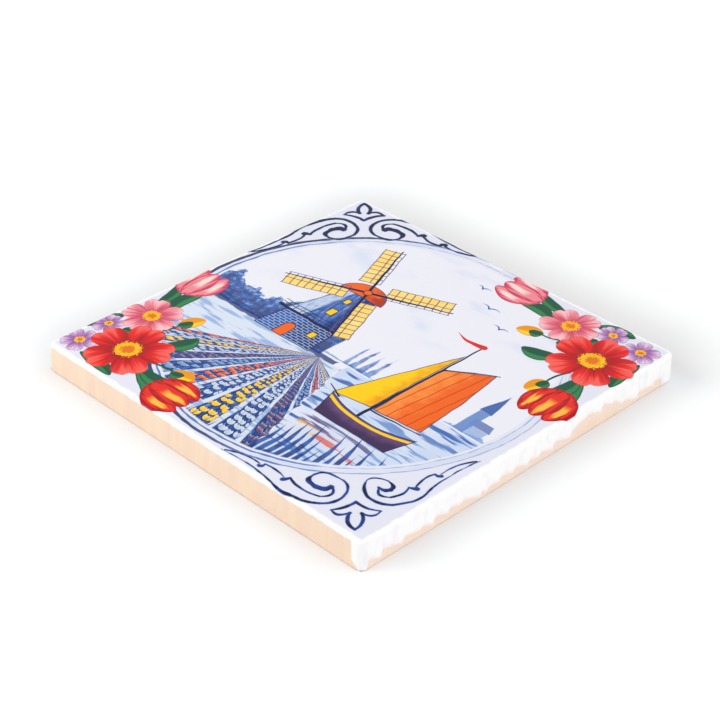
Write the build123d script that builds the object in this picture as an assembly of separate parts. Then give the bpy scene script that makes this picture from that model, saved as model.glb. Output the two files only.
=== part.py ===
"""Square wall tile: one pressed earthenware body, glazed on its face and fired.

Millimetres. The tile lies on its back. The origin is the middle of the back,
+Z is the normal of the glazed face, and +Y is the top of the tile as it is hung.
"""

import os
from math import atan2, degrees

from build123d import *

# Body
SIDE = 100.0  # nominal module, across the foot before its edge is broken
THICKNESS = 7.0  # from the back to the face
CORNER_RADIUS = 2.2  # upright corners, at the foot
WALL_LEAN = 0.35  # each wall leans in by this much, so that the body leaves its die
RIM_RADIUS = 0.9  # soft rim between wall and face, where the glaze rolls over
FOOT_BREAK = 0.3  # sharp edge taken off round the back

# Keys, the grooves pressed into the back for mortar
KEY_DEPTH = 0.5
KEY_WIDTH = 4.0  # at the mouth
KEY_PITCH = 10.0
KEY_MARGIN = 9.0  # plain border between the keys and the edge of the back
KEY_CORNER = 1.2  # plan radius of a key's ends
KEY_DRAFT = 25.0  # degrees that a key's walls lean in


def key_count():
    """Most keys that fit inside the border, an even number so that the middle is a land."""
    half_field = SIDE / 2 - KEY_MARGIN - KEY_WIDTH / 2
    return 2 * int(half_field / KEY_PITCH + 0.5)


with BuildPart() as tile:
    # Foot outline, drawn up to the face with walls that lean in evenly, round the corners too
    with BuildSketch():
        RectangleRounded(SIDE, SIDE, CORNER_RADIUS)
    extrude(amount=THICKNESS, taper=degrees(atan2(WALL_LEAN, THICKNESS)))

    # Rolled rim round the face, and the broken edge round the back
    face = tile.faces().sort_by(Axis.Z)[-1]
    fillet(face.edges(), RIM_RADIUS)
    back = tile.faces().sort_by(Axis.Z)[0]
    chamfer(back.edges(), FOOT_BREAK)

    # Keys across the back, with walls that lean so that the press can lift off
    with BuildSketch():
        with GridLocations(KEY_PITCH, SIDE, key_count(), 1):
            RectangleRounded(KEY_WIDTH, SIDE - 2 * KEY_MARGIN, KEY_CORNER)
    extrude(amount=KEY_DEPTH, taper=KEY_DRAFT, mode=Mode.SUBTRACT)

os.makedirs("parts", exist_ok=True)
export_step(tile.part, "parts/tile.step")
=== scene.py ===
"""A hand-painted wall tile of tin-glazed earthenware, lying face up on a white table."""

import math

import bpy
import numpy as np
from mathutils import Matrix, Vector


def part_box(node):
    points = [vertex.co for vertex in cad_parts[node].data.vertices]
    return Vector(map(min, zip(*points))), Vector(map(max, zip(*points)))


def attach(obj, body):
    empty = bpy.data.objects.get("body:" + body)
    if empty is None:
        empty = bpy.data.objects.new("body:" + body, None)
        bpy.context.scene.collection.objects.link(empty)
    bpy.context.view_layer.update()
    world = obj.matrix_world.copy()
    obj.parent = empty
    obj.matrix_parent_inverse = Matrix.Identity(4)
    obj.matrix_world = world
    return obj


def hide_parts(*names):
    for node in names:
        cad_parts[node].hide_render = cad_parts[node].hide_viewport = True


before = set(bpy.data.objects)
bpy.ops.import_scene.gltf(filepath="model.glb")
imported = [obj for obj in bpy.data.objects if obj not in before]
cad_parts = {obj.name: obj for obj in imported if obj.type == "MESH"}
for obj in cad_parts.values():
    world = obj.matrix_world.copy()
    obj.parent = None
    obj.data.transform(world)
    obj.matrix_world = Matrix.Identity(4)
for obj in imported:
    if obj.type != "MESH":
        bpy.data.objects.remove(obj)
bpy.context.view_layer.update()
scene = bpy.context.scene
scene.view_settings.view_transform = "Standard"
MM = 0.001


# The body: one square of cream earthenware, pressed in a die and fired, then dipped in tin glaze.
# The glaze rolls over the rim and runs down two of the walls in a lobed hem; the other walls and
# the keyed back stay bare biscuit. Face, walls and back are one closed skin.
half_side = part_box("tile")[1].x / MM
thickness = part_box("tile")[1].z / MM
wall_lean = 0.35
corner_radius = 2.2
rim_radius = 0.9
foot_break = 0.3
glaze_coat = 0.23

key_pitch = 10.0
key_half_width = 2.0
key_half_length = 41.0
key_corner = 1.2
key_depth = 0.5
key_slope = key_depth * math.tan(math.radians(25.0))


def ruled_lines(spread):
    """Grid lines from edge to edge: closer at the corners, and one on each key's lip and floor."""
    near_corner = np.linspace(half_side - 3.2, half_side, 10)
    border = np.linspace(spread[-1] + 0.6, half_side - 3.8, 9)
    outer = np.concatenate([border, near_corner])
    return np.concatenate([-outer[::-1], spread, outer])


key_centres = key_pitch * np.arange(-3.5, 4.0)
lip_to_lip = np.array([-5.0, -4.25, -3.5, -2.75, -2.0, -1.77, -1.05, -0.35])
lip_to_lip = np.concatenate([lip_to_lip, -lip_to_lip[:0:-1]])
x_lines = ruled_lines(np.append(np.add.outer(key_centres, lip_to_lip).ravel(), 4 * key_pitch))
y_lines = ruled_lines(np.concatenate([[-41.0, -40.77], np.linspace(-40.0, 40.0, 109), [40.77, 41.0]]))
columns, rows = len(x_lines), len(y_lines)


def square_edge():
    """The grid's edge points, anticlockwise from the lower left, with each one's side and place on it."""
    sides = [
        (np.arange(columns - 1), np.zeros(columns - 1, int)),
        (np.full(rows - 1, columns - 1), np.arange(rows - 1)),
        (np.arange(columns - 1, 0, -1), np.full(columns - 1, rows - 1)),
        (np.zeros(rows - 1, int), np.arange(rows - 1, 0, -1)),
    ]
    across = np.concatenate([side[0] for side in sides])
    up = np.concatenate([side[1] for side in sides])
    number = np.concatenate([np.full(len(side[0]), i) for i, side in enumerate(sides)])
    place = np.concatenate([np.arange(len(side[0])) / len(side[0]) for side in sides])
    step = np.concatenate([np.full(len(side[0]), 1 / len(side[0])) for side in sides])
    return across, up, number, place, step


edge_across, edge_up, edge_side, edge_place, edge_step = square_edge()
edge_points = np.stack([x_lines[edge_across], y_lines[edge_up]], axis=-1) / half_side
edge_count = len(edge_points)


def rounded_square(half, radius):
    """Each edge point scaled to a square of that half width, then drawn in to the corner's arc.

    The core is the point clipped to the square of the corner centres, and the way out from it is
    the wall's normal. Both are returned, so that the wall can be thinned along its normal."""
    point = edge_points[None] * half[:, None, None]
    reach = (half - radius)[:, None, None]
    core = np.clip(point, -reach, reach)
    out = point - core
    return core, out / np.linalg.norm(out, axis=-1, keepdims=True)


def wall_profile():
    """Half width, corner radius, height and lean of the section, from the rim's top to the back's edge.

    A quarter round of the rim radius, tangent to the face and to the leaning wall, then the wall
    in even steps down to the foot, then the broken edge."""
    tilt = math.atan2(wall_lean, thickness)
    rim_turn = np.linspace(math.pi / 2, tilt, 8)
    rim_height = thickness - rim_radius
    at_rim = half_side - wall_lean * rim_height / thickness - rim_radius / math.cos(tilt)
    rim_half = at_rim + rim_radius * np.cos(rim_turn)
    rim_z = rim_height + rim_radius * np.sin(rim_turn)
    wall_z = np.linspace(rim_z[-1], foot_break, 28)[1:]
    wall_half = half_side - wall_lean * wall_z / thickness
    foot_z = np.array([foot_break * 0.45, 0.0])
    foot_half = wall_half[-1] - (foot_break - foot_z)
    half = np.concatenate([rim_half, wall_half, foot_half])
    z = np.concatenate([rim_z, wall_z, foot_z])
    lean = np.concatenate([np.cos(rim_turn), np.ones(len(wall_z)), np.array([0.5, 0.0])])
    return half, corner_radius - (half_side - half), z, lean


profile_half, profile_radius, profile_z, profile_lean = wall_profile()
core, normal = rounded_square(profile_half, profile_radius)

first_lobe = -48.3
lobe_pitch = 4.75
lobe_level = 2.1
drip_place = -13.8
drip_fall = 1.3
thin_place = 22.0
thin_rise = 2.3
wiped_level = 5.95
bead_height = 0.05


def hem_height(plan, way_out):
    """Height of the glaze's lower edge at a point of the wall.

    On the run walls it is a row of leaning lobes: it climbs steeply where a lobe starts and falls with a
    power of the way along it, further on some than on others, with one long drip and one thin stretch. On
    the wiped walls it stays under the rim. The two are mixed by the square of the normal. Round the two
    corners of the right wall the glaze runs down to the foot, with a steep edge on either side."""
    x, y = plan[..., 0], plan[..., 1]
    count = (y - first_lobe) / lobe_pitch + 0.2 * np.sin(0.23 * y) + np.where(x > 0, 0.0, 0.4)
    lobe = np.floor(count)
    fall = 1.25 + 0.5 * np.sin(2.3 * lobe + 0.4)
    run = lobe_level + 0.2 * np.sin(1.7 * lobe) - fall * (count - lobe) ** 1.5
    run = run - drip_fall * np.exp(-(((y - drip_place) / 1.0) ** 2))
    run = run + thin_rise * np.exp(-(((y - thin_place) / 7.0) ** 4))
    wiped = wiped_level + 0.09 * np.sin(0.9 * x) * np.sin(0.37 * x + 0.5) + 0.06 * np.sin(2.3 * x + 1.0)
    along_wall = np.where(np.abs(way_out[..., 0]) > np.abs(way_out[..., 1]), np.abs(y), np.abs(x))
    from_corner = half_side - along_wall
    past_run = from_corner - 3.0
    run_edge = 8.0 * (from_corner - np.where(y < 0, 1.75, 4.6))
    wiped_edge = 1.7 + np.where(past_run > 0, 12.0, 0.7) * past_run
    run = np.where(x > 0, np.minimum(run, run_edge), run)
    wiped = np.where(x > 0, np.minimum(wiped, wiped_edge), wiped)
    return way_out[..., 0] ** 2 * run + way_out[..., 1] ** 2 * wiped


wall_plan = core + normal * profile_radius[:, None, None]
above_hem = profile_z[:, None] - hem_height(wall_plan, normal)
bead = bead_height * np.exp(-(((above_hem - 0.45) / 0.3) ** 2))
swelling = (glaze_coat - bead_height) * (1 - np.exp(-above_hem / 0.3))
coat_here = np.where(above_hem > 0, swelling + bead, 0.0)
thinned = (glaze_coat - coat_here) * profile_lean[:, None]
wall_plan = core + normal * (profile_radius[:, None] - thinned)[..., None]
wall_z = np.broadcast_to(profile_z[:, None, None], (*coat_here.shape, 1))
wall_points = np.concatenate([wall_plan, wall_z], axis=-1)


def key_depth_at(x, y):
    """Depth of the pressed keys: the distance inside the nearest rounded slot, over its sloping wall."""
    nearest = key_centres[np.abs(x[..., None] - key_centres).argmin(axis=-1)]
    over_x = np.abs(x - nearest) - (key_half_width - key_corner)
    over_y = np.abs(y) - (key_half_length - key_corner)
    outside = np.hypot(np.maximum(over_x, 0), np.maximum(over_y, 0))
    distance = outside + np.minimum(np.maximum(over_x, over_y), 0) - key_corner
    return key_depth * np.clip(-distance / key_slope, 0, 1)


def sheet_points(edge_row, height):
    """A grid of points inside one row of the wall: the ruled lines drawn in to that row's square, and its
    edge taken from the row itself."""
    inner = np.abs(edge_points * profile_half[edge_row]).max() / half_side
    x, y = np.meshgrid(x_lines * inner, y_lines * inner)
    points = np.stack([x, y, height(x, y)], axis=-1)
    points[edge_up, edge_across] = wall_points[edge_row]
    return points


face_points = sheet_points(0, lambda x, y: np.full_like(x, thickness))
back_points = sheet_points(-1, key_depth_at)

cell_count = columns * rows
grid_index = np.arange(cell_count).reshape(rows, columns)
loop_index = np.empty((len(profile_z), edge_count), int)
loop_index[0] = grid_index[edge_up, edge_across]
loop_index[-1] = cell_count + loop_index[0]
loop_index[1:-1] = 2 * cell_count + np.arange((len(profile_z) - 2) * edge_count).reshape(-1, edge_count)
points = np.concatenate([sheet.reshape(-1, 3) for sheet in (face_points, back_points, wall_points[1:-1])])
well_above, well_below = np.full(cell_count, thickness), np.full(cell_count, -thickness)
hem_values = np.concatenate([well_above, well_below, above_hem[1:-1].ravel()])
hem_values[loop_index[0]] = above_hem[0]

near, far = grid_index[:-1], grid_index[1:]
face_quads = np.stack([near[:, :-1], near[:, 1:], far[:, 1:], far[:, :-1]], axis=-1)
back_quads = cell_count + face_quads[..., ::-1]
ahead = np.roll(loop_index, -1, axis=1)
wall_quads = np.stack([loop_index[:-1], loop_index[1:], ahead[1:], ahead[:-1]], axis=-1)
quads = np.concatenate([face_quads.reshape(-1, 4), back_quads.reshape(-1, 4), wall_quads.reshape(-1, 4)])

sheet_margin = 0.01
face_share = 0.78
back_share = 0.185
beside_face = 0.805
wall_pitch = 0.048
wall_share = 0.042


def unwrapped():
    """Flat places for the quads' corners: the face large, each wall a strip beside it, the back above."""
    plan = points[:, :2] / (2 * half_side) + 0.5
    on_face = sheet_margin + face_share * plan[face_quads.reshape(-1, 4)]
    on_back = np.array([sheet_margin, beside_face]) + back_share * plan[back_quads.reshape(-1, 4)]
    down = np.linspace(0, 1, len(profile_z))
    strip = beside_face + wall_pitch * edge_side
    start, end = edge_place, edge_place + edge_step
    corners = ((start, 0), (start, 1), (end, 1), (end, 0))
    levels = (down[:-1], down[1:])
    on_wall = np.empty((*wall_quads.shape, 2))
    for i, (place, low) in enumerate(corners):
        on_wall[:, :, i, 0] = strip + wall_share * levels[low][:, None]
        on_wall[:, :, i, 1] = sheet_margin + face_share * place
    return np.concatenate([on_face, on_back, on_wall.reshape(-1, 4, 2)])


skin = bpy.data.meshes.new("tile_skin")
skin.from_pydata(points * MM, [], quads)
skin.attributes.new("hem", "FLOAT", "POINT").data.foreach_set("value", hem_values.astype(np.float32))
skin.uv_layers.new(name="OFBake").data.foreach_set("uv", unwrapped().astype(np.float32).ravel())
skin.polygons.foreach_set("use_smooth", np.ones(len(quads), bool))
tile = bpy.data.objects.new("painted_tile", skin)
scene.collection.objects.link(tile)
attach(tile, "root")
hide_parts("tile")


# The biscuit: cream earthenware as it left the kiln, a little rosier where the glaze has soaked in.
# The die leaves faint upright streaks on the walls, and the foot is darkened with painted shade.
ware = bpy.data.materials.new("tin_glazed_earthenware")
ware.use_nodes = True
ware.node_tree.nodes.clear()


class Value:
    """A number, vector or colour that varies over the tile: a socket, with Math nodes for its operators."""

    tree = ware.node_tree

    def __init__(self, socket):
        self.socket = socket

    @staticmethod
    def node(kind, settings=None, inputs=None, output=0):
        """Adds one node, sets its settings first, then sets or links its inputs, and wraps one output."""
        made = Value.tree.nodes.new("ShaderNode" + kind)
        for name, setting in (settings or {}).items():
            setattr(made, name, setting)
        for name, given in (inputs or {}).items():
            if isinstance(given, Value):
                Value.tree.links.new(given.socket, made.inputs[name])
            else:
                made.inputs[name].default_value = given
        return Value(made.outputs[output])

    @staticmethod
    def maths(operation, *given, clamp=False):
        """One Math node, which works on sockets and plain numbers alike."""
        settings = {"operation": operation, "use_clamp": clamp}
        return Value.node("Math", settings, dict(enumerate(given)))

    def __add__(self, other):
        return Value.maths("ADD", self, other)

    def __sub__(self, other):
        return Value.maths("SUBTRACT", self, other)

    def __rsub__(self, other):
        return Value.maths("SUBTRACT", other, self)

    def __mul__(self, other):
        return Value.maths("MULTIPLY", self, other)

    def __truediv__(self, other):
        return Value.maths("DIVIDE", self, other)

    def __pow__(self, other):
        return Value.maths("POWER", self, other)

    def __neg__(self):
        return Value.maths("MULTIPLY", self, -1.0)

    def __abs__(self):
        return Value.maths("ABSOLUTE", self)

    __radd__ = __add__
    __rmul__ = __mul__

    def along(self, way):
        """How far a vector goes along a way."""
        return Value.node("VectorMath", {"operation": "DOT_PRODUCT"}, {0: self, 1: way}, output=1)

    def parts(self):
        """The x and y of a vector."""
        return self.along((1.0, 0.0, 0.0)), self.along((0.0, 1.0, 0.0))

    def ramp(self, low, high, start=0.0, end=1.0):
        """Eases from start to end as the value goes from low to high."""
        settings = {"interpolation_type": "SMOOTHSTEP"}
        limits = {1: low, 2: high, 3: start, 4: end}
        return Value.node("MapRange", settings, {0: self, **limits})


def least(first, *others):
    """The smallest of some values."""
    for other in others:
        first = Value.maths("MINIMUM", first, other)
    return first


def most(first, *others):
    """The largest of some values."""
    for other in others:
        first = Value.maths("MAXIMUM", first, other)
    return first


def srgb(red, green, blue):
    """A colour given as screen levels of 0 to 255, as the light it stands for."""
    level = np.array([red, green, blue]) / 255
    light = np.where(level > 0.04045, ((level + 0.055) / 1.055) ** 2.4, level / 12.92)
    return (*light.tolist(), 1.0)


def mixed(under, over, cover):
    """One colour laid over another where cover is 1."""
    settings = {"data_type": "RGBA"}
    return Value.node("Mix", settings, {0: cover, 6: under, 7: over}, output=2)


def mottle(where, size, detail=2.0, stretch=None):
    """Cloudy noise from 0 to 1, in patches of that many millimetres, drawn out by the stretch."""
    if stretch:
        where = Value.node("VectorMath", {"operation": "MULTIPLY"}, {0: where, 1: stretch})
    return Value.node("TexNoise", inputs={"Vector": where, "Scale": 1 / size, "Detail": detail})


object_place = Value.node("TexCoord", output="Object")
place = Value.node("VectorMath", {"operation": "SCALE"}, {0: object_place, 3: 1 / MM})
place_x, place_y = place.parts()
place_z = place.along((0.0, 0.0, 1.0))
hem = Value.node("Attribute", {"attribute_name": "hem"}, output="Fac")

bands = mottle(place, 4.5, 1.0, (1.0, 1.0, 0.1))
streaks = mottle(place, 1.1, 3.0, (1.0, 1.0, 0.16))
grit = mottle(place, 0.4, 2.0)
biscuit = mixed(srgb(249, 225, 199), srgb(246, 220, 198), bands.ramp(0.35, 0.65))
biscuit = mixed(biscuit, srgb(241, 208, 182), streaks.ramp(0.45, 0.8, 0.0, 0.4))
biscuit = mixed(biscuit, srgb(253, 232, 213), grit.ramp(0.5, 0.75, 0.0, 0.5))
# Painted shade: the biscuit darkens towards the foot, where the tile meets the table.
painted_foot_shade = place_z.ramp(0.5, 0.05, 0.0, 0.55) * streaks.ramp(0.3, 0.6, 0.45, 1.0)
biscuit = mixed(biscuit, srgb(200, 168, 144), painted_foot_shade)
on_run_wall = abs(place_x).ramp(49.1, 49.5)
biscuit = mixed(biscuit, srgb(248, 228, 214), hem.ramp(-2.4, -0.2, 0.35, 0.9) * on_run_wall)


# The glaze: opaque white tin glaze, glassy, slightly blue on the face where the painting was sealed,
# purer white over the rim, partly its own white and partly a painted highlight on the rim. It thins to the
# colour of the biscuit along its hem.
white_rim_and_highlight = 49.1
to_rim = most(abs(place_x), abs(place_y))
runs = mottle(place, 1.8, 2.0, (1.0, 1.0, 0.4))
# Painted highlight: past the tinted face the rim is painted pure white, partly the glaze's own white.
sealed_tint = (to_rim + runs * 0.9).ramp(white_rim_and_highlight + 0.4, white_rim_and_highlight - 0.5)
glaze = mixed(srgb(254, 254, 254), srgb(227, 228, 240), sealed_tint)
pooling = mottle(place, 14.0, 2.0)
glaze = mixed(glaze, srgb(220, 223, 238), pooling.ramp(0.45, 0.8, 0.0, 0.4) * to_rim.ramp(48.5, 46.0))
glaze = mixed(glaze, srgb(240, 239, 249), runs.ramp(0.45, 0.7, 0.0, 0.5) * to_rim.ramp(49.2, 49.6))
thin_hem = hem + (mottle(place, 0.8, 2.0) - 0.5) * 0.8
glaze = mixed(glaze, srgb(251, 229, 219), thin_hem.ramp(1.5, 0.3, 0.0, 0.8) * on_run_wall)
glaze_cover = thin_hem.ramp(-0.2, 0.65)


# The far shore: low land along the horizon with a church and a row of poplars, under thin clouds.
# It is brushed in pale cobalt on the raw glaze, with a hand that shakes a little and a brush that runs
# dry and is filled again.
painted_middle = (-0.9, 0.45)
painted_turn = math.radians(-0.85)
picture_radius = 45.5
horizon = -8.0
navy = srgb(17, 20, 66)
deep_blue = srgb(20, 54, 122)
cobalt = srgb(42, 90, 168)
soft_blue = srgb(120, 158, 214)
pale_blue = srgb(196, 212, 238)


def at(x, y):
    """The flat place of that x and y."""
    return Value.node("CombineXYZ", inputs={0: x, 1: y})


def shaken(where, size, reach):
    """The same place as an unsteady hand finds it: off by up to the reach, drifting over that size."""
    drift = Value.node("TexNoise", inputs={"Vector": where, "Scale": 1 / size, "Detail": 1.0}, output=1)
    drift = Value.node("VectorMath", {"operation": "SUBTRACT"}, {0: drift, 1: (0.5, 0.5, 0.5)})
    swing = {0: drift, 1: (4 * reach, 4 * reach, 0.0), 2: where}
    return Value.node("VectorMath", {"operation": "MULTIPLY_ADD"}, swing)


def length(vector):
    """How long a vector is."""
    return Value.node("VectorMath", {"operation": "LENGTH"}, {0: vector}, output=1)


def laid(under, inside, colour, strength=1.0, soft=0.14):
    """Paint laid where inside is above nothing, with an edge as soft as that many millimetres."""
    return mixed(under, colour, inside.ramp(0.0, soft, 0.0, strength))


def edged(under, inside, colour, width=0.2, strength=0.9):
    """A line drawn round a shape, where inside is near nothing."""
    return laid(under, width - abs(inside), colour, strength)


def block(middle, half):
    """How far inside an upright rectangle a place lies."""
    return least(half[0] - abs(spot_x - middle[0]), half[1] - abs(spot_y - middle[1]))


def facet(where, *corners):
    """How far inside a straight-sided shape a place lies: the least of the distances to its sides.

    The corners are given anticlockwise."""
    to_sides = []
    for start, end in zip(corners, corners[1:] + corners[:1]):
        way = (Vector(end) - Vector(start)).normalized()
        inward = Vector((-way.y, way.x, 0.0))
        to_sides.append(where.along(inward) - inward.xy.dot(Vector(start)))
    return least(*to_sides)


rightwards = Vector((math.cos(painted_turn), math.sin(painted_turn), 0.0))
upwards = Vector((-rightwards.y, rightwards.x, 0.0))
flat_x = place.along(rightwards) - rightwards.xy.dot(Vector(painted_middle))
flat_y = place.along(upwards) - upwards.xy.dot(Vector(painted_middle))
flat = at(flat_x, flat_y)
spot = shaken(flat, 5.0, 0.16)
spot_x, spot_y = spot.parts()
pressure = mottle(flat, 3.2, 3.0)
loaded = mottle(flat, 16.0, 2.0)
grain = mottle(flat, 0.5, 2.0)
above_horizon = spot_y - horizon

cloud = mottle(flat, 11.0, 3.0, (0.5, 1.0, 1.0))
cloud_cover = cloud.ramp(0.5, 0.72, 0.0, 0.6) * above_horizon.ramp(8.0, 24.0)
picture = mixed(srgb(235, 235, 244), pale_blue, cloud_cover)

shore_height = mottle(at(spot_x, 0.0), 5.0, 3.0) * 5.0 - 1.6
picture = laid(picture, least(shore_height - above_horizon, above_horizon), soft_blue, 0.85, 0.3)

poplar_middle = 6.5
poplar_half_row = 4.4
poplar_pitch = 2.5
from_poplar = Value.maths("PINGPONG", spot_x, poplar_pitch / 2)
poplar_half = (pressure - 0.5) * 1.1 - above_horizon * 0.105 + 1.12
poplars = least(poplar_half - from_poplar, above_horizon, poplar_half_row - abs(spot_x - poplar_middle))
picture = laid(picture, poplars, mixed(soft_blue, cobalt, pressure.ramp(0.4, 0.65)), 0.85, 0.3)

tower_x = 37.0
picture = laid(picture, block((tower_x + 3.2, horizon + 1.8), (2.8, 1.8)), soft_blue, 0.7, 0.25)
nave_roof = facet(
    spot,
    (tower_x, horizon + 3.4), (tower_x + 6.4, horizon + 3.4),
    (tower_x + 5.4, horizon + 6.2), (tower_x, horizon + 6.2),
)
picture = laid(picture, nave_roof, cobalt, 0.8, 0.25)
tower = block((tower_x, horizon + 4.6), (1.5, 4.6))
picture = laid(picture, tower, mixed(soft_blue, cobalt, 0.35), 0.95, 0.2)
spire = facet(
    spot,
    (tower_x - 1.9, horizon + 9.0), (tower_x + 1.9, horizon + 9.0), (tower_x, horizon + 18.0),
)
picture = laid(picture, spire, cobalt, 0.95, 0.2)


# The field: tulips in ranks that run away to the dyke, each rank of one colour over blue leaves, set down
# head by head with the tip of the brush, and a bare meadow beside them. Rank and row are worked out from
# the depth below the horizon.
field_edge = horizon - 2.0
rank_vanish = -3.0
ranks_at_depth = 4.2
heads_in_rank = 3.0
ranks_either_side = 8.5
sun_yellow = srgb(255, 205, 0)
plum = srgb(104, 72, 120)
orange = srgb(242, 101, 18)
leaf_green = srgb(54, 132, 78)
dark_green = srgb(22, 86, 60)

below = most(field_edge - spot_y, 0.3)
bank = (pressure - 0.5) * 1.6 + below * 0.26 + 4.0
field = least(bank - spot_x, field_edge - spot_y)
rank = (spot_x - rank_vanish) / below * ranks_at_depth
from_rank = abs(Value.maths("WRAP", rank, 0.5, -0.5))
bed = least(0.43 - from_rank, ranks_either_side - abs(rank))
row = Value.maths("LOGARITHM", below, math.e) * (heads_in_rank * ranks_at_depth)
planted = at(rank * heads_in_rank, row)
nearest_head = Value.node(
    "TexVoronoi",
    {"voronoi_dimensions": "2D"},
    {"Vector": planted, "Scale": 1.0, "Randomness": 0.6},
    output="Position",
)
from_head = Value.node("VectorMath", {"operation": "SUBTRACT"}, {0: planted, 1: nearest_head})
head_across, head_down = from_head.parts()
crown = head_down + 0.16 + Value.maths("PINGPONG", head_across + 0.15, 0.15) * 1.3
heads = least(0.46 - length(from_head), crown)
blades = mottle(at(rank * 14.0, row * 0.8), 1.0, 1.0)
leaves = mixed(deep_blue, cobalt, blades.ramp(0.4, 0.55))
leaves = mixed(leaves, soft_blue, blades.ramp(0.58, 0.68, 0.0, 0.8))
order = Value.maths("WRAP", rank + 0.5, 6.0, 0.0)
petals = sun_yellow
for number, colour in enumerate((pale_blue, plum, soft_blue, orange, pale_blue), 1):
    petals = mixed(petals, colour, order.ramp(number - 0.01, number + 0.01))
petals = mixed(petals, srgb(255, 246, 230), head_down.ramp(0.1, -0.3, 0.0, 0.5))
petals = mixed(petals, deep_blue, abs(head_across).ramp(0.06, 0.02, 0.0, 0.35))

ripple = mottle(flat, 2.2, 2.0, (0.2, 1.3, 1.0))
in_field = field.ramp(0.0, 0.3)
picture = laid(picture, field, srgb(214, 224, 240), 0.9, 0.3)
picture = mixed(picture, soft_blue, in_field * ripple.ramp(0.5, 0.6, 0.0, 0.7))
picture = mixed(picture, leaves, in_field * bed.ramp(0.0, 0.05))
picture = mixed(picture, navy, in_field * least(bed, heads + 0.1).ramp(0.0, 0.06, 0.0, 0.7))
picture = mixed(picture, petals, in_field * least(bed, heads).ramp(0.0, 0.07))


# The canal: still water beside the field, a thin wash with ripples brushed level across it, and a grassy
# edge where it meets the bank.
canal = least(spot_x - bank, horizon - spot_y)
picture = laid(picture, canal, pale_blue, loaded.ramp(0.3, 0.65, 0.35, 0.9), 0.6)
picture = mixed(picture, soft_blue, canal.ramp(0.0, 0.5) * ripple.ramp(0.5, 0.58, 0.0, 0.9))
by_the_bank = canal.ramp(14.0, 0.5) * canal.ramp(0.0, 0.2)
picture = mixed(picture, cobalt, by_the_bank * ripple.ramp(0.54, 0.62, 0.0, 0.9))
bank_grass = (pressure - 0.4) * 2.2 - abs(spot_x - bank)
picture = laid(picture, least(bank_grass, field_edge - spot_y), deep_blue, 0.85, 0.3)
dyke = block((-22.0, horizon - 1.3), (24.0, 1.0))
picture = laid(picture, dyke + (pressure - 0.5) * 1.2, deep_blue, 0.9, 0.3)


# The copse: low bushes behind the mill, stippled leaf by leaf from pale to deep cobalt.
bush_height = mottle(at(spot_x, 3.0), 9.0, 2.0) * 22.0 - 3.0
leafage = mottle(flat, 1.5, 3.0)
copse = least(bush_height - above_horizon + (leafage - 0.5) * 6.0, above_horizon + 1.5)
copse = least(copse, -3.5 - spot_x)
bush_tone = leafage * 1.3 + (bush_height - above_horizon) * -0.035
bush_blue = mixed(deep_blue, cobalt, bush_tone.ramp(0.38, 0.52))
bush_blue = mixed(bush_blue, soft_blue, bush_tone.ramp(0.6, 0.74))
picture = laid(picture, copse, bush_blue, 0.95, 0.4)


# The mill: a thatched smock mill on a brick base, with a gallery all round, a boat-shaped cap and four
# sails of lattice and cloth. It is drawn in navy first and filled in with cobalt and bright enamels.
mill_x = -15.0
mill_foot = -10.5
gallery_level = -1.0
cap_level = 15.0
gallery_half = 11.0

from_axis = spot_x - mill_x
up_body = Value.maths("MULTIPLY", spot_y - gallery_level, 1 / (cap_level - gallery_level), clamp=True)
body_half = (1 - up_body) ** 1.5 * 3.2 + 5.0
across_body = from_axis / body_half
body = least(body_half - abs(from_axis), spot_y - gallery_level, cap_level - spot_y)
thatch = mottle(at(across_body * 9.0, spot_y * 0.4), 1.0, 3.0)
thatch_tone = across_body.ramp(-0.46, -0.4, 0.12, 0.42) + across_body.ramp(0.4, 0.46, 0.0, 0.33)
thatch_tone = thatch_tone + (thatch - 0.5) * 0.9
thatch_blue = mixed(pale_blue, cobalt, thatch_tone.ramp(0.0, 0.5))
thatch_blue = mixed(thatch_blue, deep_blue, thatch_tone.ramp(0.5, 0.85))
picture = laid(picture, body, thatch_blue)
picture = edged(picture, body, navy)

base_half = (gallery_level - spot_y) * 0.13 + 7.6
base = least(base_half - abs(from_axis), spot_y - mill_foot, gallery_level - spot_y)
bricks = Value.node(
    "TexBrick",
    inputs={
        "Vector": at(from_axis, spot_y), "Scale": 1.0, "Mortar Size": 0.11, "Mortar Smooth": 0.3,
        "Brick Width": 1.9, "Row Height": 0.85,
    },
    output=1,
)
brick_blue = mixed(cobalt, deep_blue, (pressure + from_axis * 0.03).ramp(0.35, 0.65))
picture = laid(picture, base, mixed(brick_blue, pale_blue, bricks * 0.75))
picture = edged(picture, base, navy)

door_half = 1.5
door_top = -6.4
over_door = most(spot_y - door_top, 0.0)
door = least(door_half - length(at(from_axis + 1.6, over_door)), spot_y - mill_foot)
picture = laid(picture, door, orange)
picture = edged(picture, door, navy)
windows = most(
    block((mill_x + 0.4, 5.0), (0.95, 1.3)),
    block((mill_x - 0.3, 10.8), (0.75, 1.0)),
    block((mill_x + 4.6, -5.2), (0.9, 1.2)),
)
picture = laid(picture, windows, sun_yellow)
picture = edged(picture, windows, navy)

rail_level = gallery_level + 2.5
deck = least(gallery_half - abs(from_axis), 0.5 - abs(spot_y - gallery_level))
rail = 0.2 - least(abs(spot_y - rail_level), abs(spot_y - rail_level + 1.1))
posts = least(0.18 - Value.maths("PINGPONG", from_axis, 1.1), rail_level - spot_y, spot_y - gallery_level)
railing = least(most(rail, posts), gallery_half - abs(from_axis))
picture = laid(picture, railing, navy, 0.9)
picture = laid(picture, deck, navy)


def about_point(where, middle, sizes):
    """Place about a point, counted in those sizes across and up."""
    shift = (-middle[0] / sizes[0], -middle[1] / sizes[1], 0.0)
    scaled = {0: where, 1: (1 / sizes[0], 1 / sizes[1], 0.0), 2: shift}
    return Value.node("VectorMath", {"operation": "MULTIPLY_ADD"}, scaled)


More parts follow.
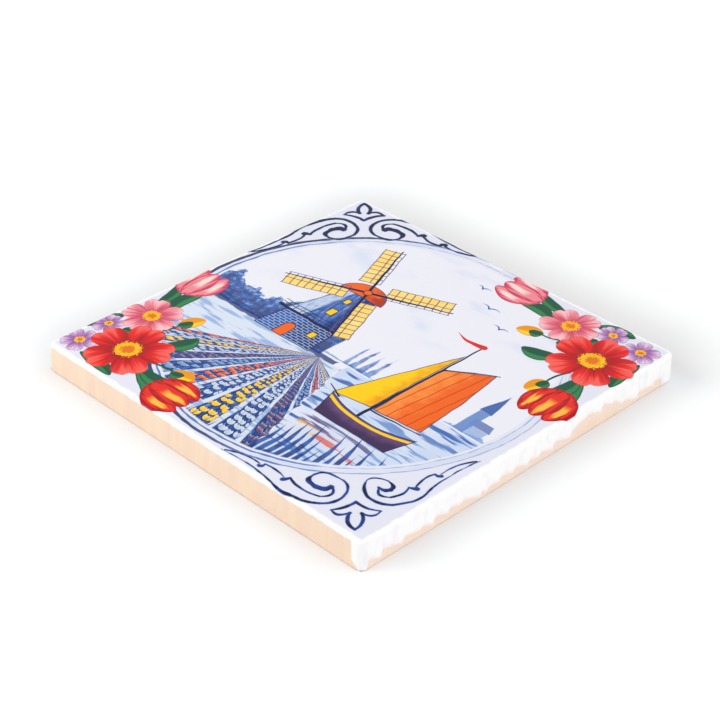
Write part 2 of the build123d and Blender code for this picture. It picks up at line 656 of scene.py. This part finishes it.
cap_round = length(about_point(spot, (mill_x, cap_level - 0.4), (6.6, 5.6)))
cap = least((1 - cap_round) * 6.0, spot_y - cap_level + 0.4)
cap_red = mixed(orange, srgb(176, 52, 20), (pressure + from_axis * 0.05).ramp(0.45, 0.75))
picture = laid(picture, cap, cap_red)
picture = edged(picture, cap, navy)


def wheeled(where, middle, turn, size, count):
    """Place on a wheel of spokes: how far out in sizes, the angle from the nearest spoke, and the place."""
    about = about_point(where, middle, (size, size))
    x, y = about.parts()
    angle = Value.maths("ARCTAN2", y, x) - math.radians(turn)
    from_spoke = Value.maths("WRAP", angle, math.pi / count, -math.pi / count)
    return length(about), from_spoke, about


sail_hub = (mill_x, 17.0)
sail_length = 21.5
sail_heel = 4.6
sail_out, from_stock, _ = wheeled(spot, sail_hub, 22.0, 1.0, 4)
along_sail = sail_out * Value.maths("COSINE", from_stock)
across_sail = sail_out * Value.maths("SINE", from_stock)
lattice = least(
    4.2 - across_sail, across_sail + 1.1,
    sail_length - 0.8 - along_sail, along_sail - sail_heel,
)
bars = least(
    Value.maths("PINGPONG", along_sail - sail_heel, 0.99),
    Value.maths("PINGPONG", across_sail + 1.1, 1.325),
)
sail_cloth = least(lattice, across_sail - 0.2)
picture = laid(picture, sail_cloth, mixed(sun_yellow, srgb(255, 232, 150), pressure), 0.95)
picture = laid(picture, least(lattice + 0.18, 0.2 - bars), plum)
stock = least(0.5 - along_sail * 0.012 - abs(across_sail), sail_length - along_sail)
picture = laid(picture, stock, navy)
picture = laid(picture, 1.1 - sail_out, orange)
picture = edged(picture, 1.1 - sail_out, navy)


# The barge: a round-bowed sailing barge on the canal, plum with a yellow strake, under an orange mainsail
# and a yellow jib. Its colours lie broken in the water below it.
def chord_place(where, start, end, bend):
    """Place along a chord, free and kept from 0 to 1, and how far off the bowed line it lies.

    The line is the parabola that leaves the chord by the bend at its middle."""
    chord = Vector(end) - Vector(start)
    way = chord / chord.length_squared
    aside = Vector((-chord.y, chord.x)) / chord.length
    along = where.along((*way, 0.0)) - way.dot(Vector(start))
    across = where.along((*aside, 0.0)) - aside.dot(Vector(start))
    kept = Value.maths("ADD", along, 0.0, clamp=True)
    off = Value.maths("MULTIPLY_ADD", kept - kept * kept, -4 * bend, across) if bend else across
    return along, kept, off


def line(where, start, end, bend=0.0, width=0.3, end_width=None):
    """How far inside a drawn line a place lies.

    Its half width goes evenly from width to end width, and its ends are round."""
    along, kept, off = chord_place(where, start, end, bend)
    over = (along - kept) * (Vector(end) - Vector(start)).length
    if end_width is not None:
        width = Value.maths("MULTIPLY_ADD", kept, end_width - width, width)
    return width - length(at(off, over))


barge_x = 22.0
barge_half = 12.5
waterline = -25.0
mast_x = 19.5
mast_top = 20.0

from_amidships = spot_x - barge_x
under_sheer = from_amidships * from_amidships * 0.017 - 20.0 - spot_y
hull = least(under_sheer, spot_y - waterline, barge_half - under_sheer * 0.3 - abs(from_amidships))
reflection = least(block((barge_x - 0.5, waterline - 4.5), (10.5, 4.5)), canal)
reflected = mixed(plum, orange, (spot_y + pressure * 4.0).ramp(waterline - 2.0, waterline - 3.5))
under_jib = from_amidships.ramp(-3.0, -4.0) * spot_y.ramp(waterline - 4.0, waterline - 5.0)
reflected = mixed(reflected, sun_yellow, under_jib)
picture = mixed(picture, reflected, reflection.ramp(0.0, 2.0) * ripple.ramp(0.48, 0.54, 0.0, 0.75))

mainsail = facet(spot, (mast_x + 0.6, -15.6), (32.6, -14.4), (29.4, 13.0), (mast_x + 0.6, 6.6))
mainsail = mainsail + (1 - abs(spot_y + 1.0) * 0.07) * 0.5
seams = Value.maths("PINGPONG", from_amidships - spot_y * 0.08, 1.35)
sail_orange = mixed(srgb(252, 148, 62), orange, (pressure * 0.6 + from_amidships * 0.05).ramp(0.15, 0.6))
sail_orange = mixed(sail_orange, srgb(186, 62, 14), seams.ramp(0.22, 0.08, 0.0, 0.8))
picture = laid(picture, mainsail, sail_orange)
picture = edged(picture, mainsail, navy)
jib = facet(spot, (9.2, -17.2), (mast_x - 0.5, -15.4), (mast_x - 0.5, 13.5))
jib_yellow = mixed(sun_yellow, srgb(236, 150, 10), (from_amidships * 0.09 + pressure).ramp(-0.1, 0.45))
picture = laid(picture, jib, jib_yellow)
picture = edged(picture, jib, navy)

spars = most(
    line(spot, (mast_x, -19.5), (mast_x, mast_top), 0.0, 0.5, 0.26),
    line(spot, (mast_x, -16.2), (33.4, -15.2), 0.0, 0.32, 0.22),
    line(spot, (mast_x, 6.0), (30.0, 13.6), 0.4, 0.3, 0.2),
    line(spot, (11.5, -17.6), (6.8, -15.4), 0.0, 0.32, 0.18),
)
picture = laid(picture, spars, navy)
pennant = line(spot, (mast_x, mast_top - 0.4), (mast_x - 8.5, mast_top + 0.4), 0.9, 0.95, 0.1)
picture = laid(picture, pennant, srgb(222, 36, 32))

hull_plum = mixed(plum, srgb(62, 40, 84), (under_sheer * 0.2 + pressure * 0.6).ramp(0.5, 1.2))
picture = laid(picture, hull, hull_plum)
picture = laid(picture, least(hull, 0.5 - abs(under_sheer - 1.0)), sun_yellow)
picture = edged(picture, hull, navy, 0.24)


# The reeds and birds: a clump of reeds on the near bank, each blade one stroke from the root up, and
# three gulls of two strokes each.
reed_pitch = 1.9
reed_root = -41.0
leaning = spot_x + (spot_y - reed_root) * (spot_y - reed_root) * 0.012
clump = Value.maths("FLOOR", leaning / reed_pitch)
reed_height = Value.node("TexWhiteNoise", {"noise_dimensions": "1D"}, {"W": clump}) * 12.0 + 7.0
reed_height = reed_height * spot_x.ramp(7.0, 16.0)
from_reed = abs(Value.maths("WRAP", leaning, reed_pitch, 0.0) - reed_pitch / 2)
reed = (reed_root - spot_y + reed_height) * 0.075 - from_reed
blade = least(reed, 0.75 - from_reed)
picture = laid(picture, blade, mixed(cobalt, deep_blue, pressure.ramp(0.4, 0.6)), 0.95, 0.2)

for bird_x, bird_y, span in ((9.0, 33.0, 2.8), (16.5, 28.0, 2.3), (2.0, 38.5, 2.0)):
    wing = at(abs(spot_x - bird_x), spot_y - bird_y)
    picture = laid(picture, line(wing, (0.0, -0.3), (span, 0.5), 0.55, 0.34, 0.12), cobalt)


# The ring: two thin cobalt lines drawn with a liner brush on a turntable, a pale wash between them.
# It is a little longer towards the scrolls' corners, and its lines swell, thin and pale on their way round.
# The picture stays inside it.
ring_outer = 47.85
ring_inner = 46.2
long_way = Vector((math.cos(math.radians(115.0)), math.sin(math.radians(115.0)), 0.0))
wide_way = Vector((-long_way.y, long_way.x, 0.0))
ring_stretch = 1.016

on_long_way = spot.along(long_way / ring_stretch) - 0.28
on_wide_way = spot.along(wide_way * ring_stretch) + 0.24
from_middle = length(at(on_long_way, on_wide_way))
painting = mixed(glaze, picture, from_middle.ramp(picture_radius, picture_radius - 0.5))
between = least(from_middle - ring_inner, ring_outer - from_middle)
painting = laid(painting, between, pale_blue, loaded.ramp(0.4, 0.65, 0.05, 0.6), 0.6)
for ring, fullest_way, palest, fullest, load in (
    (ring_outer, (-0.94, -0.342, 0.0), -46.0, 36.0, 1.0),
    (ring_inner, (-0.707, -0.707, 0.0), -2.0, 20.0, 0.6),
):
    fullness = (spot.along(fullest_way) + (loaded - 0.5) * 24.0).ramp(palest, fullest, 0.0, load)
    ring_tone = mixed(srgb(92, 132, 198), srgb(36, 64, 130), fullness.ramp(0.4, 0.9))
    ring_tone = mixed(ring_tone, srgb(18, 30, 88), (fullness + pressure * 0.6).ramp(1.0, 1.3, 0.0, 0.9))
    drawn = (pressure - 0.5) * 0.5 + fullness * fullness * 0.37 + 0.24 - abs(from_middle - ring)
    painting = laid(painting, drawn, ring_tone, fullness.ramp(0.0, 0.6, 0.62, 0.95), 0.22)


# The scrolls: a mirrored pair of ox-head scrolls and a small palmette, in two opposite corners, in navy
# outline. Each scroll is two lines that start together at its tail and curl into one hook. One half is
# drawn, in distances across and along the nearer edge, and folded four times with small slips.
def curve(where, stops, widths):
    """A line through every other stop, bowed past the stops between, with its half widths at the ends."""
    drawn = -1.0
    for i in range(0, len(stops) - 2, 2):
        start, by, end = (Vector(stop) for stop in stops[i:i + 3])
        chord = end - start
        bend = chord.cross(by - start) / chord.length
        drawn = most(drawn, line(where, start, end, bend, widths[i // 2], widths[i // 2 + 1]))
    return drawn


slip_in = 0.5
slip_first = 1.9
slip_change = 3.5

spread_x, spread_y = abs(spot_x), abs(spot_y)
across_edge = most(spread_x, spread_y)
along_edge = least(spread_x, spread_y)
past_first = (spot_x - spread_y).ramp(0.1, 0.0)
at_front_and_back = (spread_y - spread_x).ramp(0.0, 0.1)
across_edge = across_edge - at_front_and_back * along_edge.ramp(40.0, 32.0, 0.0, slip_in)
along_edge = along_edge - (slip_first - past_first * slip_change) * along_edge.ramp(35.0, 29.0)
folded = at(across_edge, along_edge * Value.maths("SIGN", spot_x * spot_y * -1.0))
outer_scroll = curve(folded, (
    (48.2, 10.6), (47.5, 18.4), (48.1, 26.0), (48.3, 31.4), (46.2, 36.0), (43.9, 37.6), (41.2, 37.8),
    (38.7, 36.5), (37.2, 33.9), (37.9, 31.2), (40.1, 30.0), (42.2, 30.7), (42.5, 32.5), (41.8, 33.7),
    (40.5, 33.9),
), (0.1, 0.28, 0.44, 0.38, 0.28, 0.34, 0.76, 0.56))
inner_scroll = curve(folded, (
    (40.5, 34.1), (42.2, 35.6), (44.4, 34.5), (45.2, 31.4), (44.5, 27.7), (45.0, 27.5), (45.8, 26.9),
), (0.42, 0.26, 0.34, 0.68))
inner_tail = curve(folded, (
    (45.2, 26.4), (44.6, 23.7), (45.0, 20.7), (45.6, 20.8), (46.2, 20.2),
), (0.18, 0.3, 0.64))
tail_tip = curve(folded, ((45.7, 19.8), (45.9, 16.1), (47.8, 11.4)), (0.2, 0.26))
palmette = curve(folded, (
    (40.7, 40.7), (43.3, 40.5), (46.1, 39.2), (46.3, 41.0), (44.2, 42.5), (46.0, 43.8), (46.9, 46.9),
), (0.46, 0.3, 0.42, 0.42))
scroll = most(outer_scroll, inner_scroll, inner_tail, tail_tip, palmette)
scroll = scroll + (pressure - 0.5) * 0.5 + spot_x.ramp(10.0, -10.0, 0.0, 0.11)
scroll_load = pressure + spot_x.ramp(10.0, -10.0, 0.0, 0.12)
scroll_tone = mixed(srgb(16, 14, 54), srgb(28, 58, 134), scroll_load.ramp(0.58, 0.44))
painting = laid(painting, scroll + 0.75, pale_blue, loaded.ramp(0.4, 0.65, 0.0, 0.4), 0.9)
painting = laid(painting, scroll + 0.14, srgb(62, 104, 182), 0.85, 0.22)
painting = laid(painting, scroll + 0.03, scroll_tone, 0.97, 0.18)


# The posies: roses, tulips and buds with their leaves, in the other two corners, in bright enamels over the
# ring. One posy is drawn, and the other is its mirror image across the scrolls' diagonal, a little shifted.
def dab(where, start, end, bend, width, fullness=0.6):
    """How far inside a pointed dab of the brush a place lies, and how far off its middle.

    The half width is the width times a power of 4 a (1 - a), where a is the place along the dab."""
    along, _, off = chord_place(where, start, end, bend)
    belly = Value.maths("MULTIPLY", along - along * along, 4.0, clamp=True) ** fullness
    return Value.maths("MULTIPLY_ADD", belly, width, -abs(off)), off


def leaf(under, start, end, bend, width, shade=dark_green, light=leaf_green):
    """A dab with its one half lighter, up to the midrib."""
    inside, off = dab(posy, start, end, bend, width)
    painted = laid(under, inside, shade)
    return laid(painted, least(inside - 0.15, off - 0.1), light, 0.9, 0.5)


def tulip(under, foot, tip, width, shade, light, flame):
    """Two petals behind and one before, each dark at its edge and lighter inside, all from one foot."""
    axis = Vector(tip) - Vector(foot)
    aside = Vector((-axis.y, axis.x)).normalized() * width
    along, _, off = chord_place(posy, foot, tip, 0.0)
    streak = mottle(at(along * 1.6, off * 1.3), 1.0, 3.0)
    painted = under
    for lean in (0.62, -0.62, 0.0):
        inside, _ = dab(posy, foot, Vector(tip) + aside * lean, width * lean * 0.55, width * 0.55, 0.5)
        streaked = inside + (streak - 0.5) * width * 0.9
        painted = laid(painted, inside, shade)
        painted = laid(painted, least(inside - 0.15, streaked - width * 0.1), light, 0.95, 0.7)
        painted = laid(painted, least(streaked - width * 0.3, along * 4.0 - 1.2), flame, 0.85, 0.9)
    return painted


def rose(under, middle, radius, turn, shade, light, pale):
    """Five notched petals round a tuft of stamens, darker at the root and where the next one covers it.

    A petal's rim falls off with the fourth power of the angle from its spoke; streaks follow the spokes."""
    reach, from_spoke, about = wheeled(posy, middle, turn, radius, 5)
    aside = abs(from_spoke) * (5 / math.pi)
    notch = Value.maths("SUBTRACT", 1.0, aside * 6.0, clamp=True) * 0.08
    rim = (pressure - 0.5) * 0.16 + 1.0 - aside ** 4.0 * 0.36 - notch
    inside = (rim - reach) * radius
    spoke_way = Value.node("VectorMath", {"operation": "NORMALIZE"}, {0: about})
    streak_place = {0: spoke_way, 1: (6.0, 6.0, 0.0), 2: Value.node("CombineXYZ", inputs={2: reach})}
    streak = mottle(Value.node("VectorMath", {"operation": "MULTIPLY_ADD"}, streak_place), 1.0)
    petal = mixed(shade, light, (streak * 0.7 + reach * 0.6).ramp(0.5, 0.85))
    petal = mixed(petal, pale, (reach - aside * 0.35 + (streak - 0.5) * 1.4).ramp(0.5, 0.95, 0.0, 0.7))
    petal = mixed(petal, shade, from_spoke.ramp(0.25, 0.62, 0.0, 0.85))
    painted = laid(under, inside, petal)
    painted = edged(painted, inside, shade, 0.16, 0.7)
    tuft = (grain * 0.36 + 0.12 - reach) * radius
    painted = laid(painted, tuft, srgb(250, 190, 20), 1.0, 0.2)
    return laid(painted, tuft - radius * 0.13, srgb(226, 110, 8), 0.95, 0.3)


over_diagonal = spot.along((1.0, 1.0, 0.0))
mirror_way = {0: (-1.0, -1.0, 0.0), 1: at(least(over_diagonal, 0.0), least(over_diagonal, 0.0)), 2: spot}
posy = shaken(Value.node("VectorMath", {"operation": "MULTIPLY_ADD"}, mirror_way), 30.0, 0.3)
stems = most(
    line(posy, (42.0, 27.0), (44.5, 19.0), 0.5, 0.45, 0.4),
    line(posy, (23.0, 42.5), (14.5, 44.5), -0.5, 0.45, 0.4),
    line(posy, (31.0, 36.0), (24.0, 33.4), 0.8, 0.4, 0.32),
    line(posy, (39.0, 26.0), (38.0, 19.0), -0.6, 0.4, 0.32),
)
painting = laid(painting, stems, dark_green)
for start, end, bend, width in (
    ((33.5, 29.0), (25.0, 26.0), 1.0, 2.3),
    ((43.0, 25.5), (48.2, 15.0), -1.2, 2.2),
    ((42.0, 26.0), (40.6, 12.5), 1.4, 2.2),
    ((22.5, 44.5), (12.0, 47.6), 1.1, 1.8),
    ((22.0, 40.0), (11.5, 40.4), -1.3, 2.2),
    ((30.5, 45.5), (40.0, 47.8), 0.6, 1.9),
    ((47.6, 40.0), (48.6, 28.0), -0.8, 1.9),
    ((34.5, 41.0), (29.0, 33.0), 0.9, 2.2),
):
    painting = leaf(painting, start, end, bend, width)
for foot, tip in (((24.6, 33.8), (18.8, 31.2)), ((38.2, 20.0), (36.4, 14.2))):
    painting = leaf(painting, foot, tip, 0.0, 2.2, srgb(236, 150, 10), srgb(255, 215, 30))
    calyx = Vector(foot).lerp(Vector(tip), 0.55)
    painting = leaf(painting, foot, calyx, 0.6, 1.5)
flamed = (srgb(176, 16, 26), srgb(234, 44, 32), srgb(255, 206, 70))
blushed = (srgb(204, 62, 96), srgb(240, 140, 150), srgb(255, 232, 222))
painting = tulip(painting, (43.8, 19.6), (44.2, 7.6), 5.4, *flamed)
painting = tulip(painting, (15.0, 44.2), (3.4, 44.8), 5.2, *blushed)
lilac = (srgb(148, 92, 160), srgb(205, 160, 204), srgb(238, 218, 236))
pink = (srgb(206, 72, 100), srgb(240, 140, 152), srgb(253, 210, 212))
red = (srgb(172, 10, 20), srgb(236, 32, 28), srgb(250, 116, 104))
painting = rose(painting, (44.6, 44.0), 4.6, 40.0, *lilac)
painting = rose(painting, (35.6, 45.0), 3.8, 10.0, *lilac)
painting = rose(painting, (26.4, 41.0), 7.2, 70.0, *pink)
painting = rose(painting, (39.2, 33.4), 10.2, 20.0, *red)


# The firing: paint and glaze melt into one glassy skin, matt only where the biscuit is bare.
painting_edge = 49.55
on_face = to_rim.ramp(painting_edge + 0.1, painting_edge - 0.05) * place_z.ramp(6.0, 6.5)
fired = mixed(glaze, painting, on_face)
ware_colour = mixed(biscuit, fired, glaze_cover)
ware_roughness = glaze_cover.ramp(0.2, 0.9, 0.82, 0.16)

biscuit_grain = mottle(place, 0.22, 3.0)
glaze_ripple = mottle(place, 5.0, 1.0)
glaze_relief = glaze_ripple * 0.05 + runs * to_rim.ramp(48.9, 49.6, 0.0, 0.15)
relief = biscuit_grain * (1 - glaze_cover) * 0.05 + glaze_relief * glaze_cover
bump = Value.node("Bump", inputs={"Strength": 0.6, "Distance": 1.0 * MM, "Height": relief})
shader = Value.node(
    "BsdfPrincipled",
    inputs={
        "Base Color": ware_colour, "Roughness": ware_roughness, "Normal": bump,
        "IOR": 1.5, "Specular IOR Level": 0.12,
    },
)
output = Value.tree.nodes.new("ShaderNodeOutputMaterial")
Value.tree.links.new(shader.socket, output.inputs["Surface"])
skin.materials.append(ware)


# The stage: a white table that runs out of sight, plain soft light from a white room, and one broad
# lamp on the left that gives the tile its faint shadow behind and on the right. A painted shadow adds to
# it: the table's tone for the camera is darker in a soft halo, a rounded square about the tile, and
# outside it the table pales to plain white.
table_half = 1.5
painted_shadow_middle = (-5.5, 9.5)
painted_shadow_core = 41.5
painted_shadow_round = 10.0
near_lift = 0.15
far_lift = 0.25
lit_white = (0.9, 0.9, 0.9, 1.0)
painted_shade_white = (0.812, 0.82, 0.828, 1.0)
table_corners = np.array([(-1, -1, 0), (1, -1, 0), (1, 1, 0), (-1, 1, 0)]) * table_half
table_mesh = bpy.data.meshes.new("table")
table_mesh.from_pydata(table_corners, [], [(0, 1, 2, 3)])
table = bpy.data.objects.new("table", table_mesh)
scene.collection.objects.link(table)


def seen():
    """One for what the camera sees, straight or in a shine, and nothing for the light on the tile."""
    ways = ("Is Camera Ray", "Is Glossy Ray", "Is Transmission Ray")
    return most(*(Value.node("LightPath", output=way) for way in ways))


white = bpy.data.materials.new("white_table")
white.use_nodes = True
Value.tree = white.node_tree
white_shader = Value.tree.nodes["Principled BSDF"]
white_shader.inputs["Roughness"].default_value = 0.9
white_shader.inputs["Specular IOR Level"].default_value = 0.0
white_shader.inputs["Emission Strength"].default_value = 1.0
table_place = Value.node("TexCoord", output="Object")
table_x, table_y = table_place.parts()
# Painted shadow: the camera sees the table darker than the light it throws back, and the lift whitens it
# only outside a rounded square about the tile, which leaves a painted soft shadow round the tile.
over_x = most(abs(table_x / MM - painted_shadow_middle[0]) - painted_shadow_core, 0.0)
over_y = most(abs(table_y / MM - painted_shadow_middle[1]) - painted_shadow_core, 0.0)
past_painted_shadow = length(at(over_x, over_y)) - painted_shadow_round
lift = past_painted_shadow.ramp(-2.0, 14.0, 0.0, near_lift) + past_painted_shadow.ramp(8.0, 40.0, 0.0, far_lift)
lift = lift * seen()
lifted = Value.node("CombineColor", inputs={0: lift, 1: lift, 2: lift})
Value.tree.links.new(lifted.socket, white_shader.inputs["Emission Color"])
table_colour = mixed(lit_white, painted_shade_white, seen())
Value.tree.links.new(table_colour.socket, white_shader.inputs["Base Color"])
table_mesh.materials.append(white)

room_left = 0.3
room_right = 1.2
room = bpy.data.worlds.new("white_room")
room.use_nodes = True
scene.world = room
Value.tree = room.node_tree
look = Value.node("TexCoord", output="Generated")
toward_right = look.along((0.69, 0.58, 0.2))
room_level = toward_right.ramp(-0.75, 0.75, room_left, room_right)
room_grey = Value.node("CombineColor", inputs={0: room_level, 1: room_level, 2: room_level})
room_colour = mixed(room_grey, (1.0, 1.0, 1.0, 1.0), seen())
Value.tree.links.new(room_colour.socket, Value.tree.nodes["Background"].inputs["Color"])

lamp_data = bpy.data.lights.new("broad_lamp", "AREA")
lamp_data.size = 0.6
lamp_data.energy = 3.9
lamp = bpy.data.objects.new("broad_lamp", lamp_data)
lamp.location = (-0.5, -0.62, 0.46)
lamp.rotation_euler = (-Vector(lamp.location)).to_track_quat("-Z", "Y").to_euler()
scene.collection.objects.link(lamp)

view_aim = Vector((-4.13, 3.75, 0.0)) * MM
view_distance = 428.3 * MM
view_azimuth = math.radians(44.3)
view_elevation = math.radians(33.1)
view_roll = math.radians(1.33)
view_focal = 94.03
back_way = Vector((
    math.sin(view_azimuth) * math.cos(view_elevation),
    -math.cos(view_azimuth) * math.cos(view_elevation),
    math.sin(view_elevation),
))
level = Vector((math.cos(view_azimuth), math.sin(view_azimuth), 0.0))
camera_data = bpy.data.cameras.new("photo_view")
camera_data.lens = view_focal
camera_data.sensor_width = 36.0
camera_data.clip_start = 0.01
camera = bpy.data.objects.new("photo_view", camera_data)
upright = Matrix((level, back_way.cross(level), back_way)).transposed().to_4x4()
camera.matrix_world = (
    Matrix.Translation(view_aim + back_way * view_distance) @ upright @ Matrix.Rotation(view_roll, 4, "Z")
)
scene.collection.objects.link(camera)
scene.camera = camera
